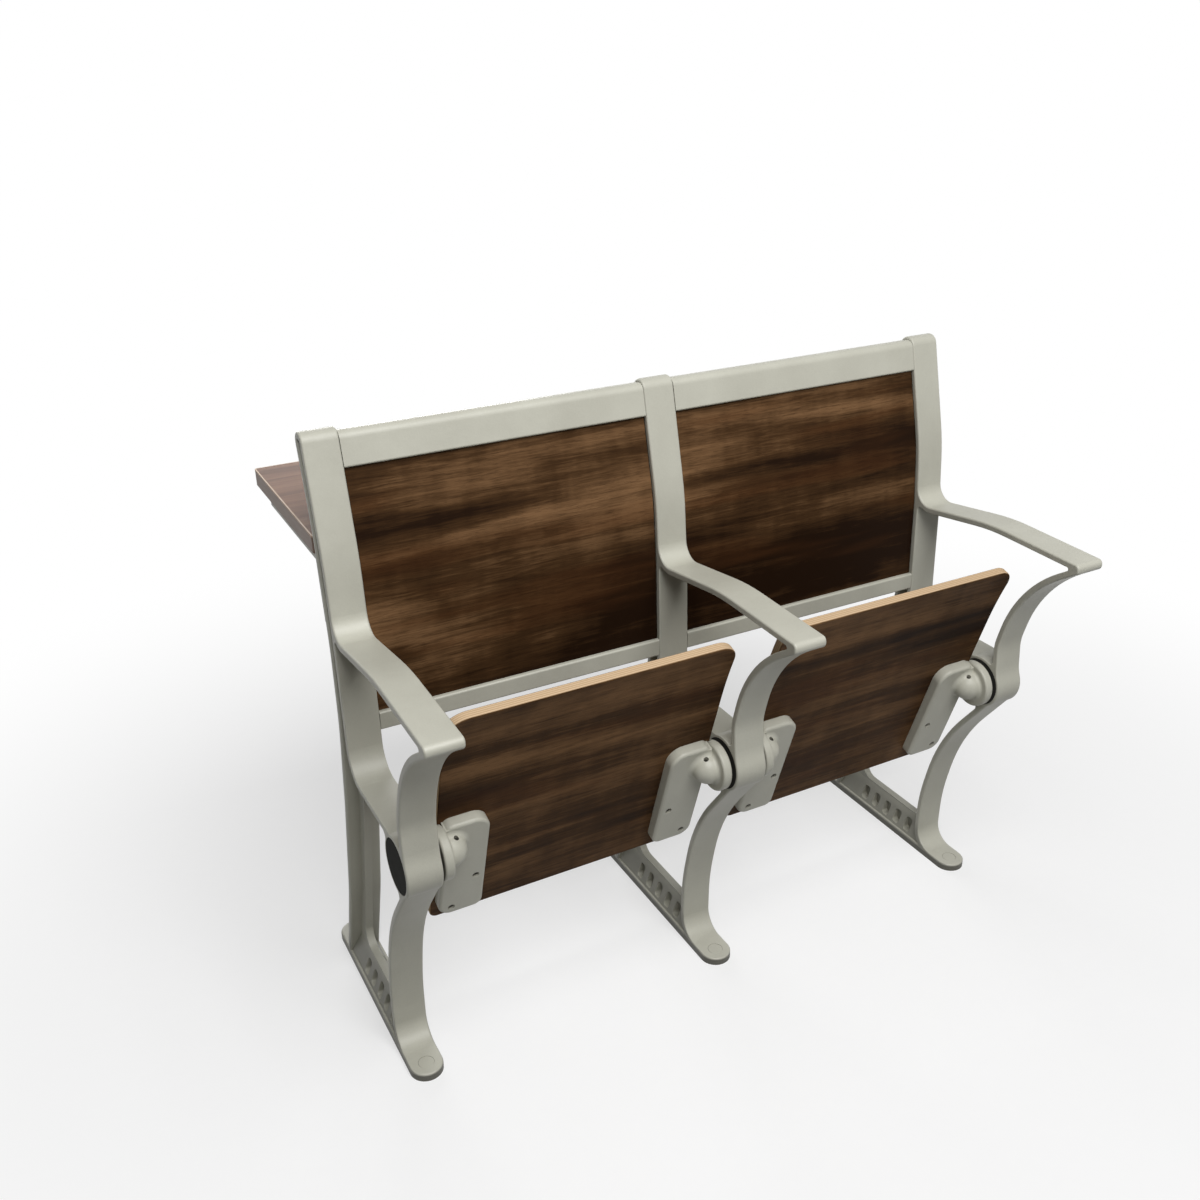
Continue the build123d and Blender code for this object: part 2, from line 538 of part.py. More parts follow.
def bracket_barrel():
    """Domed barrel and flange of the bracket, cut flat where they lie on the seat board."""
    foot = Pos(0, UNDER + PLATE / 2) * Rectangle(4 * BARREL_R, PLATE)
    section = (Circle(BARREL_R) + foot).face()
    meeting = [v for v in section.vertices() if abs(v.Y - PLATE_FACE) < 1e-6 and abs(v.X) < BARREL_R]
    section = section.fillet_2d(BARREL_FAIRING, meeting)
    height = BARREL_R - UNDER
    half_width = BARREL_R + BARREL_FAIRING
    window = Pos(0, UNDER + height / 2) * Rectangle(2 * half_width, height)
    half_window = Pos(half_width / 2, UNDER + height / 2) * Rectangle(half_width, height)
    centre = LIP_IN - BARREL_COVE
    dome = revolve(HUB_SIDE.offset(centre) * (section & half_window), Axis((centre, 0, 0), (0, 0, 1)), 180)
    on_plate = hub_slice(section & window, centre, SIDE - PLATE_INSET)
    curve = CenterArc((centre, BARREL_R + BARREL_COVE), BARREL_COVE, -90, 90)
    rest = Polyline(curve @ 1, (LIP_IN, 0), (centre, 0), curve @ 0)
    cove = revolve(make_face([curve, *rest.edges()]), Axis.X)
    flange = x_cylinder(FLANGE_R, LIP_IN, FLANGE_OUT)
    flange = fillet(flange.edges(), FLANGE_ROUND)
    below = Pos(FLANGE_IN - FLANGE_R, 0, UNDER - FLANGE_R) * Box(2 * FLANGE_R, 4 * FLANGE_R, 2 * FLANGE_R)
    return dome + on_plate + (cove + flange - below)


def bracket():
    """Cast seat bracket of the +x side: plate, barrel and flange in one piece."""
    outer = SIDE - PLATE_INSET
    middle = Pos(outer - PLATE_WIDTH / 2, (PLATE_TOP - PLATE_LOW) / 2)
    outline = (middle * Rectangle(PLATE_WIDTH, PLATE_TOP + PLATE_LOW)).face()
    low, high = [row.sort_by(Axis.X) for row in outline.vertices().group_by(Axis.Y)]
    rounds = (PLATE_ROUND, PLATE_FOOT_ROUND, PLATE_HEAD_ROUND, PLATE_ROUND)
    for spot, radius in zip([Vector(vertex) for vertex in (*low, *high)], rounds):
        near = [v for v in outline.vertices() if (Vector(v) - spot).length < 1e-3]
        outline = outline.fillet_2d(radius, near)
    plate = extrude(Plane.XY.offset(UNDER) * outline, amount=PLATE)
    plate = fillet(plate.edges().group_by(Axis.Z)[-1], PLATE_EDGE)
    body = plate + bracket_barrel()
    body -= x_cylinder(AXLE_R + FIT, SIDE - AXLE_IN_BARREL - FIT, FLANGE_OUT)
    body -= extrude(grub_frame() * Circle(GRUB_R + FIT), amount=BARREL_R)
    for inset, y in SCREW_SPOTS:
        spot = Plane((SIDE - inset, y, PLATE_FACE))
        body -= extrude(spot * Circle(SCREW_HEAD_R + SEATED), amount=-(SCREW_HEAD + SCREW_SINK))
        body -= extrude(spot * Circle(SCREW_R + FIT), amount=-PLATE)
    return body


def seat_screw():
    """Wood screw with a socket head, head up along z, seat of the head at zero."""
    head = extrude(Circle(SCREW_HEAD_R), amount=SCREW_HEAD)
    head = fillet(head.edges().group_by(Axis.Z)[-1], SCREW_HEAD / 3)
    shank = extrude(Circle(SCREW_R), amount=-(PLATE - SCREW_HEAD - SCREW_SINK + SCREW_BITE - SEATED))
    drive = extrude(Plane.XY.offset(SCREW_HEAD) * RegularPolygon(DRIVE_R, 6), amount=-DRIVE)
    return head + shank - drive


def grub_screw():
    """Set screw that holds the axle in the barrel."""
    length = BARREL_R - AXLE_R - GRUB_SINK
    frame = grub_frame()
    screw = extrude(frame.offset(FIT) * Circle(GRUB_R), amount=length - FIT)
    return screw - extrude(frame.offset(length) * RegularPolygon(DRIVE_R, 6), amount=-2 * DRIVE)


one_bracket = bracket()
one_screw = seat_screw()
one_grub = grub_screw()
one_board = seat_board()
lean = radians(SEAT_LEAN)
for seat, x in SEAT_CENTRES.items():
    place = Plane((x, HUB_Y, HUB_Z), x_dir=(1, 0, 0), z_dir=(0, -cos(lean), -sin(lean))).location
    write(f"{seat}_seat_board", place * one_board)
    screws, grubs = [], []
    for end, side in (("left", -1), ("right", 1)):
        solids = [one_bracket, one_grub]
        if side < 0:
            solids = [mirror(solid, Plane.YZ) for solid in solids]
        write(f"{seat}_seat_{end}_bracket", place * solids[0])
        grubs.append(place * solids[1])
        for inset, y in SCREW_SPOTS:
            screw_at = Pos(side * (SIDE - inset), y, PLATE_FACE - SCREW_SINK - SCREW_HEAD)
            screws.append(place * screw_at * one_screw)
        face = Pos(x + side * (PITCH / 2 - HALF), HUB_Y, HUB_Z)
        inward = Rot(0, 0, 180) if side > 0 else Rot(0, 0, 0)
        hub = face * inward
        write(f"{seat}_seat_{end}_bush", hub * bush)
        write(f"{seat}_seat_{end}_spring", hub * spring)
        near, far = side * DOG_START, side * BUFFER_END
        stops = [hub_slice(shape, near, far) for shape in (up_buffer, down_buffer)]
        write(f"{seat}_seat_{end}_buffers", *[face * stop for stop in stops])
        rod_end = DOG_START + DOG_LENGTH
        rod = x_cylinder(AXLE_R, -side * (PITCH / 2 - HALF - SIDE + AXLE_IN_BARREL), side * rod_end)
        axle = rod + hub_slice(dog, near, side * rod_end)
        write(f"{seat}_seat_{end}_axle", face * axle)
    write(f"{seat}_seat_screws", *screws)
    write(f"{seat}_seat_set_screws", *grubs)

# Backs.
def panel_strip(extra):
    """Side view of the panel, grown by a clearance."""
    deep = band(UPRIGHT_FRONT, [LINE_SWEEP, LINE_SWEEP], PANEL_RECESS + PANEL + extra)
    strip = deep - band(UPRIGHT_FRONT, [LINE_SWEEP, LINE_SWEEP], PANEL_RECESS - extra)
    height = PANEL_TOP_Z - PANEL_LOW_Z + 2 * extra
    window = Pos(0, (PANEL_TOP_Z + PANEL_LOW_Z) / 2) * Rectangle(4 * PANEL_RECESS + 6 * PANEL, height)
    return strip & window


def rail_profile(low, height, depth, hollow, frame):
    """Side view of a hollow rail with the slot for the panel."""
    box = rail_box(low, height, depth, 0)
    box = fillet([v for v in box.vertices() if abs(v.Y - low) < 1e-6], RAIL_ROUND)
    if low >= 0:
        box = fillet(box.vertices().group_by(Axis.Y)[-1], RAIL_ROUND)
    return frame * (box - hollow) - panel_strip(SEATED)


top_profile = rail_profile(TOP_RAIL_LOW, TOP_RAIL, TOP_RAIL_DEPTH, top_hollow, TOP_FRAME)
low_profile = rail_profile(0, LOW_RAIL, LOW_RAIL_DEPTH, low_hollow, LOW_FRAME)
RAIL_LENGTH = PITCH - BAND_WIDTH - 2 * RAIL_GAP
PANEL_WIDTH = PITCH - BAND_WIDTH - 2 * PANEL_EDGE_GAP
rail_screws = []
for back, x in SEAT_CENTRES.items():
    xs = rail_screw_xs(x - PITCH / 2, [1]) + rail_screw_xs(x + PITCH / 2, [-1])
    for level, profile, screw in (("top", top_profile, TOP_SCREW), ("bottom", low_profile, LOW_SCREW)):
        rail = Pos(x) * across(profile, RAIL_LENGTH)
        for screw_x in xs:
            rail -= rail_screw_hole(screw, screw_x)
            rail_screws.append(rail_screw(screw, screw_x))
        write(f"{back}_back_{level}_rail", rail)
    write(f"{back}_back_panel", Pos(x) * across(panel_strip(0), PANEL_WIDTH))
write("back_rail_screws", *rail_screws)

# Writing desk.
DESK_LENGTH = 2 * PITCH + BAND_WIDTH
desk_at = Pos(0, DESK_FRONT_Y + DESK_DEPTH / 2, DESK_LOW)
core = RectangleRounded(DESK_LENGTH - 2 * DESK_EDGE, DESK_DEPTH - 2 * DESK_EDGE, DESK_CORNER - DESK_EDGE)
rim = RectangleRounded(DESK_LENGTH, DESK_DEPTH, DESK_CORNER) - core
desk_screw_ys = [DESK_FRONT_Y + DESK_SCREW_FIRST, DESK_FRONT_Y + DESK_SCREW_FIRST + DESK_SCREW_PITCH]
desk_board = desk_at * extrude(core, amount=DESK)
arm_profile = make_face(
    FilletPolyline(
        (rear_y(DESK_LOW) + ARM_REACH, DESK_LOW - ARM_TIP),
        (rear_y(ARM_LOW_Z) + 2 * ARM_PLATE, DESK_LOW - ARM_TIP - ARM_ELBOW),
        (rear_y(ARM_LOW_Z) + ARM_PLATE, ARM_LOW_Z),
        radius=ARM_SWEEP,
    ).edges()
    + Polyline(
        (rear_y(ARM_LOW_Z) + ARM_PLATE, ARM_LOW_Z),
        (rear_y(ARM_LOW_Z), ARM_LOW_Z),
        (rear_y(DESK_LOW), DESK_LOW),
        (rear_y(DESK_LOW) + ARM_REACH, DESK_LOW),
        (rear_y(DESK_LOW) + ARM_REACH, DESK_LOW - ARM_TIP),
    ).edges()
)
back_line = [(rear_y(DESK_LOW), DESK_LOW), (rear_y(ARM_LOW_Z), ARM_LOW_Z)]
back_shape = Polygon(*back_line, *[(y + ARM_PLATE, z) for y, z in reversed(back_line)], align=None)
top_at = Pos(rear_y(DESK_LOW) + ARM_REACH / 2, DESK_LOW - ARM_PLATE / 2)
top_shape = top_at * Rectangle(ARM_REACH, ARM_PLATE)
arm_flanges = across((back_shape + top_shape).face(), ARM_WIDTH)
arm_corners = arm_flanges.edges().filter_by(Axis.Z).group_by(Axis.Y)[-1]
arm = fillet(arm_corners, ARM_WIDTH / 4) + across(arm_profile, ARM_RIB)
SCREW_UP = DESK_LOW - ARM_PLATE
desk_screw_length = ARM_PLATE + SCREW_BITE
desk_screw = extrude(Circle(SCREW_R), amount=desk_screw_length - SEATED)
desk_screw += extrude(Circle(SCREW_HEAD_R), amount=-SCREW_HEAD)
desk_screw = fillet(desk_screw.edges().group_by(Axis.Z)[0], SCREW_HEAD / 3)
desk_screw -= extrude(Plane.XY.offset(-SCREW_HEAD) * RegularPolygon(DRIVE_R, 6), amount=DRIVE)
bolts, nuts, screws = [], [], []
for side in (-1, 1):
    arm -= bolt_hole(side * ARM_BOLT_X)
    for y in desk_screw_ys:
        arm -= extrude(Plane((side * DESK_SCREW_X, y, SCREW_UP)) * Circle(SCREW_R + FIT), amount=ARM_PLATE)
for name, x in STANDARDS.items():
    write(f"{name}_desk_arm", Pos(x) * arm)
    for side in (-1, 1):
        place = rail_screw_place(ARM_BOLT, x + side * ARM_BOLT_X)
        on_arm = place.offset(ARM_PLATE * cos(radians(ARM_TILT)))
        head = extrude(on_arm * Circle(ARM_BOLT_HEAD_R), amount=ARM_BOLT_HEAD)
        head = fillet(head.edges().group_by(Axis.Y)[-1], ARM_BOLT_HEAD / 3)
        tail = BAND + ARM_NUT + ARM_BOLT_TAIL
        shank = extrude(on_arm * Circle(ARM_BOLT_R), amount=-(ARM_PLATE * cos(radians(ARM_TILT)) + tail))
        recess = on_arm.offset(ARM_BOLT_HEAD) * RegularPolygon(ARM_BOLT_SOCKET_R, 6)
        socket = extrude(recess, amount=-ARM_BOLT_HEAD / 2)
        bolts.append(head + shank - socket)
        behind = place.offset(-BAND)
        nut = extrude(behind * RegularPolygon(ARM_NUT_R, 6), amount=-ARM_NUT)
        nuts.append(nut - extrude(behind * Circle(ARM_BOLT_R + FIT), amount=-ARM_NUT))
        for y in desk_screw_ys:
            screw_at = Plane((x + side * DESK_SCREW_X, y, DESK_LOW))
            desk_board -= extrude(screw_at * Circle(SCREW_R + FIT), amount=SCREW_BITE)
            screws.append(Pos(x + side * DESK_SCREW_X, y, SCREW_UP) * desk_screw)
write("desk_board", desk_board)
write("desk_edge_band", desk_at * extrude(rim, amount=DESK))
write("desk_arm_bolts", *bolts)
write("desk_arm_nuts", *nuts)
write("desk_screws", *screws)
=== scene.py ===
"""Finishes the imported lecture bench: paint, plywood, laminate, hub fittings, light and camera."""
import json
from math import cos, pi, radians, sin

import bpy
from bpy.props import FloatProperty, FloatVectorProperty, IntProperty, PointerProperty
from bpy.types import Operator, Panel, PropertyGroup
from mathutils import Matrix, Vector


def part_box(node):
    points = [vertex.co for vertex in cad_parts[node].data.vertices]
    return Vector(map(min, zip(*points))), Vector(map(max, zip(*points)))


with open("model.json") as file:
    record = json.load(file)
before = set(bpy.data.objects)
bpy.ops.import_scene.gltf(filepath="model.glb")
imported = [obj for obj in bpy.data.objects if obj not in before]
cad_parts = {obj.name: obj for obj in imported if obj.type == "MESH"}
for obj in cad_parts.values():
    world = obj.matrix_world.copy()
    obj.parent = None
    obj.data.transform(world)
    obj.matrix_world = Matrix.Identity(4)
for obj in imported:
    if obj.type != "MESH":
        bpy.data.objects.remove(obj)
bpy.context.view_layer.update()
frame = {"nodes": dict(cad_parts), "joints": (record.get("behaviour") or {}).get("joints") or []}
NODES = frame["nodes"]
SEAT_JOINT = frame["joints"][0]["pos_m"]

bl_info = {
    "name": "Lecture bench finish",
    "version": (1, 0, 0),
    "blender": (4, 5, 0),
    "location": "View3D > Sidebar > Bench",
    "description": "Gives a two-seat lecture bench its paint, plywood, laminate and studio",
    "category": "Material",
}

ALONG = (1, 0, 0)            # along the bench
UP = (0, 0, 1)
WHITE = (1, 1, 1, 1)
WOOD_SPECULAR = 0.03         # lacquer and laminate without a hard shine
MATT_SPECULAR = 0.01         # plastic and rubber

# Depth of the surface detail, in metres.
PEEL_DEPTH = 0.00006
SWELL_DEPTH = 0.0006
WOOD_DEPTH = 0.00010
LAMINATE_DEPTH = 0.00008
MOULD_DEPTH = 0.00004

# Detail per metre along X, Y and Z.
STAINS = (9.0, 9.0, 5.0)
EDGE_FIBRES = (60.0, 60.0, 420.0)
BACKING_FLECKS = (180.0,) * 3
MOULD_GRAIN = (1400.0,) * 3
SCUFFS = (60.0,) * 3
FLOOR_GRAIN = (40.0,) * 3

SHADE_EDGE_WANDER = 0.004          # how much the top of the painted low shade wanders, in metres
EDGE_LINE = (0.0030, 0.0022)  # pale line below the top of the edging: where it starts and is full
FLOOR_HALF = 30.0            # half of the floor's side, in metres
SENSOR = 36.0                # width that the lens refers to, in millimetres
KEY_BOX = {"spot": (-0.2, -1.75, 3.0), "target": (0, 0, 0.45), "size": 2.2}
REAR_BOX = {"spot": (0.2, 3.4, 1.2), "target": (0, 0.1, 0.6), "size": 2.0}


def srgb(red, green, blue):
    """Linear colour of an 8-bit screen colour."""
    def linear(value):
        part = value / 255
        return part / 12.92 if part <= 0.04045 else ((part + 0.055) / 1.055) ** 2.4
    return (linear(red), linear(green), linear(blue))


SCUFFED = srgb(96, 94, 90)        # scuffs on plastic and rubber
WORN_ZINC = srgb(118, 118, 116)
WORN_BLACK = srgb(40, 39, 36)


def colour_prop(name, description, default):
    """A colour that a user can change."""
    return FloatVectorProperty(name=name, description=description, subtype="COLOR", size=3,
                               min=0, max=1, default=default)


def length_prop(name, description, default):
    """A length that a user can change, in metres."""
    return FloatProperty(name=name, description=description, unit="LENGTH", min=0.00001,
                         default=default, precision=4)


def share_prop(name, description, default):
    """A share from 0 to 1 that a user can change."""
    return FloatProperty(name=name, description=description, subtype="FACTOR", min=0, max=1,
                         default=default)


def angle_prop(name, description, degrees):
    """An angle that a user can change."""
    return FloatProperty(name=name, description=description, subtype="ANGLE",
                         default=radians(degrees))


def power_prop(name, description, default):
    """A lamp's power that a user can change."""
    return FloatProperty(name=name, description=description, unit="POWER", min=0, default=default)


def place_prop(name, description, default):
    """A position or a shift that a user can change, in metres."""
    return FloatVectorProperty(name=name, description=description, subtype="TRANSLATION",
                               unit="LENGTH", default=default)


class CastPaint(PropertyGroup):
    """Baked paint on the castings and rails."""
    colour: colour_prop("Paint", "Colour of the clean paint", srgb(192, 191, 178))
    # Colours the random mottle, and also the painted shade that occlusion puts in corners.
    shade: colour_prop("Grime", "Colour that settles in corners", srgb(122, 118, 104))
    # Painted shade: darkens the sides of the bases near the floor and paints a contact shadow along
    # the floor.
    low_shade: colour_prop("Dirt", "Colour along the floor", srgb(66, 64, 56))
    peel: length_prop("Orange peel", "Size of the paint's fine dimples", 0.0018)
    swell: length_prop("Casting swell", "Size of the casting's soft waves", 0.028)
    gloss: share_prop("Roughness", "Roughness of the clean paint", 0.44)
    # Reach of the painted corner shade.
    corner: length_prop("Corner reach", "How far grime reaches out of a corner", 0.018)
    # Height of the painted contact shadow along the floor.
    floor_shadow_height: length_prop("Floor dirt", "Height of the dirt along the floor", 0.0125)
    # Height of the painted shade on the sides of the bases.
    splash: length_prop("Dust", "Height of the dust on the sides of the bases", 0.062)


class Walnut(PropertyGroup):
    """Walnut laminate on the backs and seats."""
    heart: colour_prop("Heart", "Darkest streaks", srgb(33, 20, 11))
    body: colour_prop("Body", "Main brown", srgb(69, 48, 29))
    light: colour_prop("Light", "Lightest streaks", srgb(124, 93, 64))
    warm: colour_prop("Warm", "Reddish zones", srgb(92, 58, 33))
    board: length_prop("Band width", "Width of the broad light and dark bands", 0.075)
    streak: length_prop("Streak width", "Width of a streak across the grain", 0.010)
    run: length_prop("Streak run", "Length of a streak along the grain", 0.22)
    gloss: share_prop("Roughness", "Roughness of the lacquer", 0.46)
    shift: place_prop("Grain shift", "Moves the grain over the boards", (6.1, 0.12, 0.29))


class PlyEdge(PropertyGroup):
    """Bare edge of the plywood seats."""
    light: colour_prop("Light ply", "Face-grain plies", srgb(208, 182, 150))
    dark: colour_prop("Dark ply", "End-grain plies", srgb(182, 152, 116))
    glue: colour_prop("Glue line", "Glue between the plies", srgb(128, 98, 70))
    skin: length_prop("Skin", "Thickness of the walnut skins", 0.0009)
    board: length_prop("Board", "Thickness of a seat board", 0.014)
    plies: IntProperty(name="Plies", description="Plies in a seat board", min=3, default=9)
    lean: angle_prop("Lean", "Lean of the tipped-up seat", 17.9)
    drop: length_prop("Drop", "Hub axis to the board's underside", 0.0225)
    bend: length_prop("Bend", "Radius of the board's bend", 0.75)
    bend_start: length_prop("Bend start", "Hub axis to the start of the bend", 0.12)


class DeskTop(PropertyGroup):
    """Laminate and edging of the writing desk."""
    body: colour_prop("Body", "Main brown", srgb(122, 89, 69))
    dark: colour_prop("Dark", "Darker grain", srgb(92, 63, 46))
    light: colour_prop("Light", "Lighter grain", srgb(147, 113, 89))
    edge: colour_prop("Edging", "Side of the edge band", srgb(108, 86, 69))
    line: colour_prop("Edge line", "Pale line along the top of the edging", srgb(178, 149, 119))
    backing: colour_prop("Backing", "Sheet on the underside", srgb(150, 140, 128))
    gloss: share_prop("Roughness", "Roughness of the laminate", 0.40)
    edge_gloss: share_prop("Edging roughness", "Roughness of the edging", 0.5)


class Fittings(PropertyGroup):
    """Small parts of the hubs and the fasteners."""
    black: colour_prop("Cap", "Dark plastic and rubber", srgb(33, 33, 30))
    nylon: colour_prop("Bush", "Nylon of the bushes", srgb(60, 59, 56))
    steel: colour_prop("Steel", "Zinc-plated steel", srgb(168, 168, 166))
    dark_steel: colour_prop("Dark steel", "Blackened steel of the seat's screws", srgb(64, 62, 57))
    cap_gloss: share_prop("Cap roughness", "Roughness of the hub caps", 0.55)
    rubber_gloss: share_prop("Rubber roughness", "Roughness of the stop buffers", 0.8)
    nylon_gloss: share_prop("Bush roughness", "Roughness of the bushes", 0.5)
    steel_gloss: share_prop("Steel roughness", "Roughness of the steel", 0.36)


class Studio(PropertyGroup):
    """Floor, light and camera."""
    floor: colour_prop("Floor", "Floor colour", srgb(246, 246, 246))
    bounce: colour_prop("Bounce", "Floor colour that lights the bench", srgb(128, 128, 126))
    lift: share_prop("Lift", "Share of white in the shadows on the floor", 0.50)
    sky: FloatProperty(name="Sky", description="Strength of the even light", min=0, default=0.10)
    key: power_prop("Key", "Power of the overhead softbox", 102)
    back: power_prop("Back", "Power of the softbox behind the bench", 56)
    clear: length_prop("Shadow reach", "Distance where the floor has turned white", 1.9)
    eye: place_prop("Camera", "Camera position", (-0.8792, -1.4509, 1.3814))
    yaw: angle_prop("Yaw", "Camera turn from +Y to +X", 27.624)
    pitch: angle_prop("Pitch", "Camera tilt", -25.356)
    roll: angle_prop("Roll", "Camera roll", -0.848)
    lens: FloatProperty(name="Lens", description="Focal length, in millimetres", min=1,
                        default=36.58)


class Wire:
    """A shader socket that takes Python's arithmetic and adds Math nodes."""

    def __init__(self, graph, socket):
        self.graph = graph
        self.socket = socket

    def math(self, operation, *values):
        """A Math node on values or wires."""
        return self.graph.node("ShaderNodeMath", {"operation": operation}, dict(enumerate(values)))

    def __add__(self, other):
        return self.math("ADD", self, other)

    def __radd__(self, other):
        return self.math("ADD", other, self)

    def __sub__(self, other):
        return self.math("SUBTRACT", self, other)

    def __rsub__(self, other):
        return self.math("SUBTRACT", other, self)

    def __mul__(self, other):
        return self.math("MULTIPLY", self, other)

    def __rmul__(self, other):
        return self.math("MULTIPLY", other, self)

    def __abs__(self):
        return self.math("ABSOLUTE", self)

    def swing(self):
        """A noise about zero."""
        return self - 0.5

    def over(self, floor):
        """The value, no lower than a floor."""
        return self.math("MAXIMUM", self, floor)

    def wave(self):
        """Sine of the value."""
        return self.math("SINE", self)

    def step(self, low, high):
        """0 below low, 1 above high, smooth in between."""
        values = {"Value": self, "From Min": low, "From Max": high}
        return self.graph.node("ShaderNodeMapRange", {"interpolation_type": "SMOOTHSTEP"}, values)

    def vector(self, operation, *values, output=0):
        """A Vector Math node on this vector and others."""
        values = dict(enumerate((self, *values)))
        return self.graph.node("ShaderNodeVectorMath", {"operation": operation}, values, output)

    def dot(self, way):
        """Dot product of a vector with a fixed one."""
        return self.vector("DOT_PRODUCT", way, output="Value")

    def times(self, scale):
        """A vector scaled by three numbers."""
        return self.vector("MULTIPLY", scale)


class Graph:
    """The node tree of one material or world."""

    def __init__(self, owner):
        self.owner = owner
        owner.use_nodes = True
        self.tree = owner.node_tree
        self.tree.nodes.clear()

    def node(self, kind, settings=None, values=None, output=0):
        """Adds a node, with its settings first and then its socket values or links."""
        node = self.tree.nodes.new(kind)
        for name, value in (settings or {}).items():
            if name == "stops":
                self.stops(node.color_ramp, value)
            else:
                setattr(node, name, value)
        for name, value in (values or {}).items():
            if isinstance(value, Wire):
                self.tree.links.new(value.socket, node.inputs[name])
            else:
                node.inputs[name].default_value = value
        return Wire(self, node.outputs[output]) if node.outputs else None

    def stops(self, ramp, stops):
        """Sets a ramp's stops from (position, colour) pairs."""
        while len(ramp.elements) < len(stops):
            ramp.elements.new(0.5)
        for element, (position, colour) in zip(ramp.elements, stops):
            element.position = position
            element.color = (*colour, 1)

    def place(self):
        """Position on the object at rest, in metres."""
        return self.node("ShaderNodeTexCoord", output="Object")

    def facing(self):
        """Surface direction in the object's own frame."""
        return self.node("ShaderNodeTexCoord", output="Normal")

    def noise(self, place, detail=4.0, roughness=0.55, distortion=0.0):
        """Noise with features of about one unit of place."""
        values = {"Vector": place, "Scale": 1.0, "Detail": detail, "Roughness": roughness,
                  "Distortion": distortion}
        return self.node("ShaderNodeTexNoise", None, values)

    def grain(self, place, along, across, detail, roughness=0.55, distortion=0.0):
        """Noise drawn out along X, from its counts per metre along and across."""
        return self.noise(place.times((along, across, across)), detail, roughness, distortion)

    def mix(self, share, first, second):
        """Mix of two colours."""
        values = {0: share}
        for socket, colour in ((6, first), (7, second)):
            values[socket] = colour if isinstance(colour, Wire) else (*colour, 1)
        return self.node("ShaderNodeMix", {"data_type": "RGBA", "blend_type": "MIX"}, values, 2)

    def ramp(self, share, stops):
        """Colour of a share along stops."""
        return self.node("ShaderNodeValToRGB", {"stops": stops}, {"Fac": share})

    def bump(self, height, depth, under=None):
        """Surface direction from a height between 0 and 1, for a depth in metres."""
        values = {"Height": height, "Distance": depth, "Strength": 1.0}
        if under:
            values["Normal"] = under
        return self.node("ShaderNodeBump", None, values)

    def corners(self, reach):
        """0 in tight corners and 1 on open surfaces."""
        return self.node("ShaderNodeAmbientOcclusion", {"samples": 8}, {"Distance": reach}, "AO")

    def finish(self, **values):
        """Principled surface from socket values, named with underscores for blanks."""
        sockets = {name.replace("_", " "): value for name, value in values.items()}
        shader = self.node("ShaderNodeBsdfPrincipled", None, sockets)
        self.node("ShaderNodeOutputMaterial", None, {"Surface": shader})
        return self.owner


def paints(name):
    """A node tree for a new material."""
    return Graph(bpy.data.materials.new(name))


def colour(value):
    """A property's colour as plain numbers."""
    return tuple(value)


def evenly(size):
    """Counts per metre of a detail of one size in every direction."""
    return (1 / size,) * 3


def cast_paint(settings):
    """Satin paint over a casting: orange peel, soft swell, painted shade in corners and painted
    shade near the floor.
    """
    graph = paints("cast_paint")
    place = graph.place()
    peel = graph.noise(place.times(evenly(settings.peel)), detail=2.0)
    swell = graph.noise(place.times(evenly(settings.swell)), detail=3.0)
    cloud = graph.noise(place.times(STAINS), detail=4.0, roughness=0.6)
    mottle = cloud.swing() * 0.5 + peel.swing() * 0.18 + 0.12
    unshaded = graph.mix(mottle, colour(settings.colour), colour(settings.shade))
    # Painted shade: occlusion darkens corners and recesses towards the shade colour.
    painted_corner_shade = 1 - graph.corners(settings.corner)
    paint = graph.mix(painted_corner_shade.step(0.25, 0.95) * 0.6, unshaded, colour(settings.shade))
    # Painted shade: faces turned along X darken low on the bases, and all faces darken along the
    # floor as a painted contact shadow.
    height = place.dot(UP) + cloud.swing() * SHADE_EDGE_WANDER
    beside = abs(graph.facing().dot(ALONG)).step(0.55, 0.80)
    painted_side_shade = (1 - height.step(settings.splash * 0.6, settings.splash)) * beside
    painted_floor_shadow = 1 - height.step(settings.floor_shadow_height * 0.7, settings.floor_shadow_height)
    paint = graph.mix((painted_side_shade * 0.45).over(painted_floor_shadow * 0.85), paint, colour(settings.low_shade))
    rough = settings.gloss + cloud.swing() * 0.16 + painted_corner_shade * 0.2
    normal = graph.bump(peel, PEEL_DEPTH, graph.bump(swell, SWELL_DEPTH))
    return graph.finish(Base_Color=paint, Roughness=rough, Normal=normal)


def walnut_grain(graph, place, settings):
    """Colour, roughness and height of walnut whose grain runs along X."""
    across = 1 / settings.streak
    along = 1 / settings.run
    broad = 1 / settings.board
    place = place.vector("ADD", settings.shift)
    bands = graph.grain(place, along * 0.35, broad, 2.0, 0.45, 0.6)
    streak = graph.grain(place, along * 1.4, across, 5.0, 0.62, 0.8)
    fibre = graph.grain(place, along * 5, across * 7, 4.0, 0.7)
    figure = graph.grain(place, 30.0, 12.0, 2.0, 0.5)
    zone = graph.grain(place, along * 0.5, broad * 1.6, 2.0, 0.5, 0.4)
    dash = graph.grain(place, along * 7, across * 4, 3.0, 0.6)
    pore = graph.grain(place, along * 16, across * 18, 2.0, 0.5)
    tone = bands * 0.70 + streak * 0.26 + fibre.swing() * 0.16 + figure.swing() * 0.12
    heart = colour(settings.heart)
    stops = [(0.37, heart), (0.49, colour(settings.body)), (0.63, colour(settings.light))]
    wood = graph.ramp(tone, stops)
    wood = graph.mix(zone.step(0.52, 0.72) * 0.30, wood, colour(settings.warm))
    wood = graph.mix(dash.step(0.54, 0.66) * 0.30, wood, heart)
    pits = pore.step(0.60, 0.70)
    wood = graph.mix(pits * 0.45, wood, heart)
    rough = settings.gloss + fibre.swing() * 0.16 + pits * 0.15
    return wood, rough, fibre * 0.6 - pits * 0.4 + 0.4


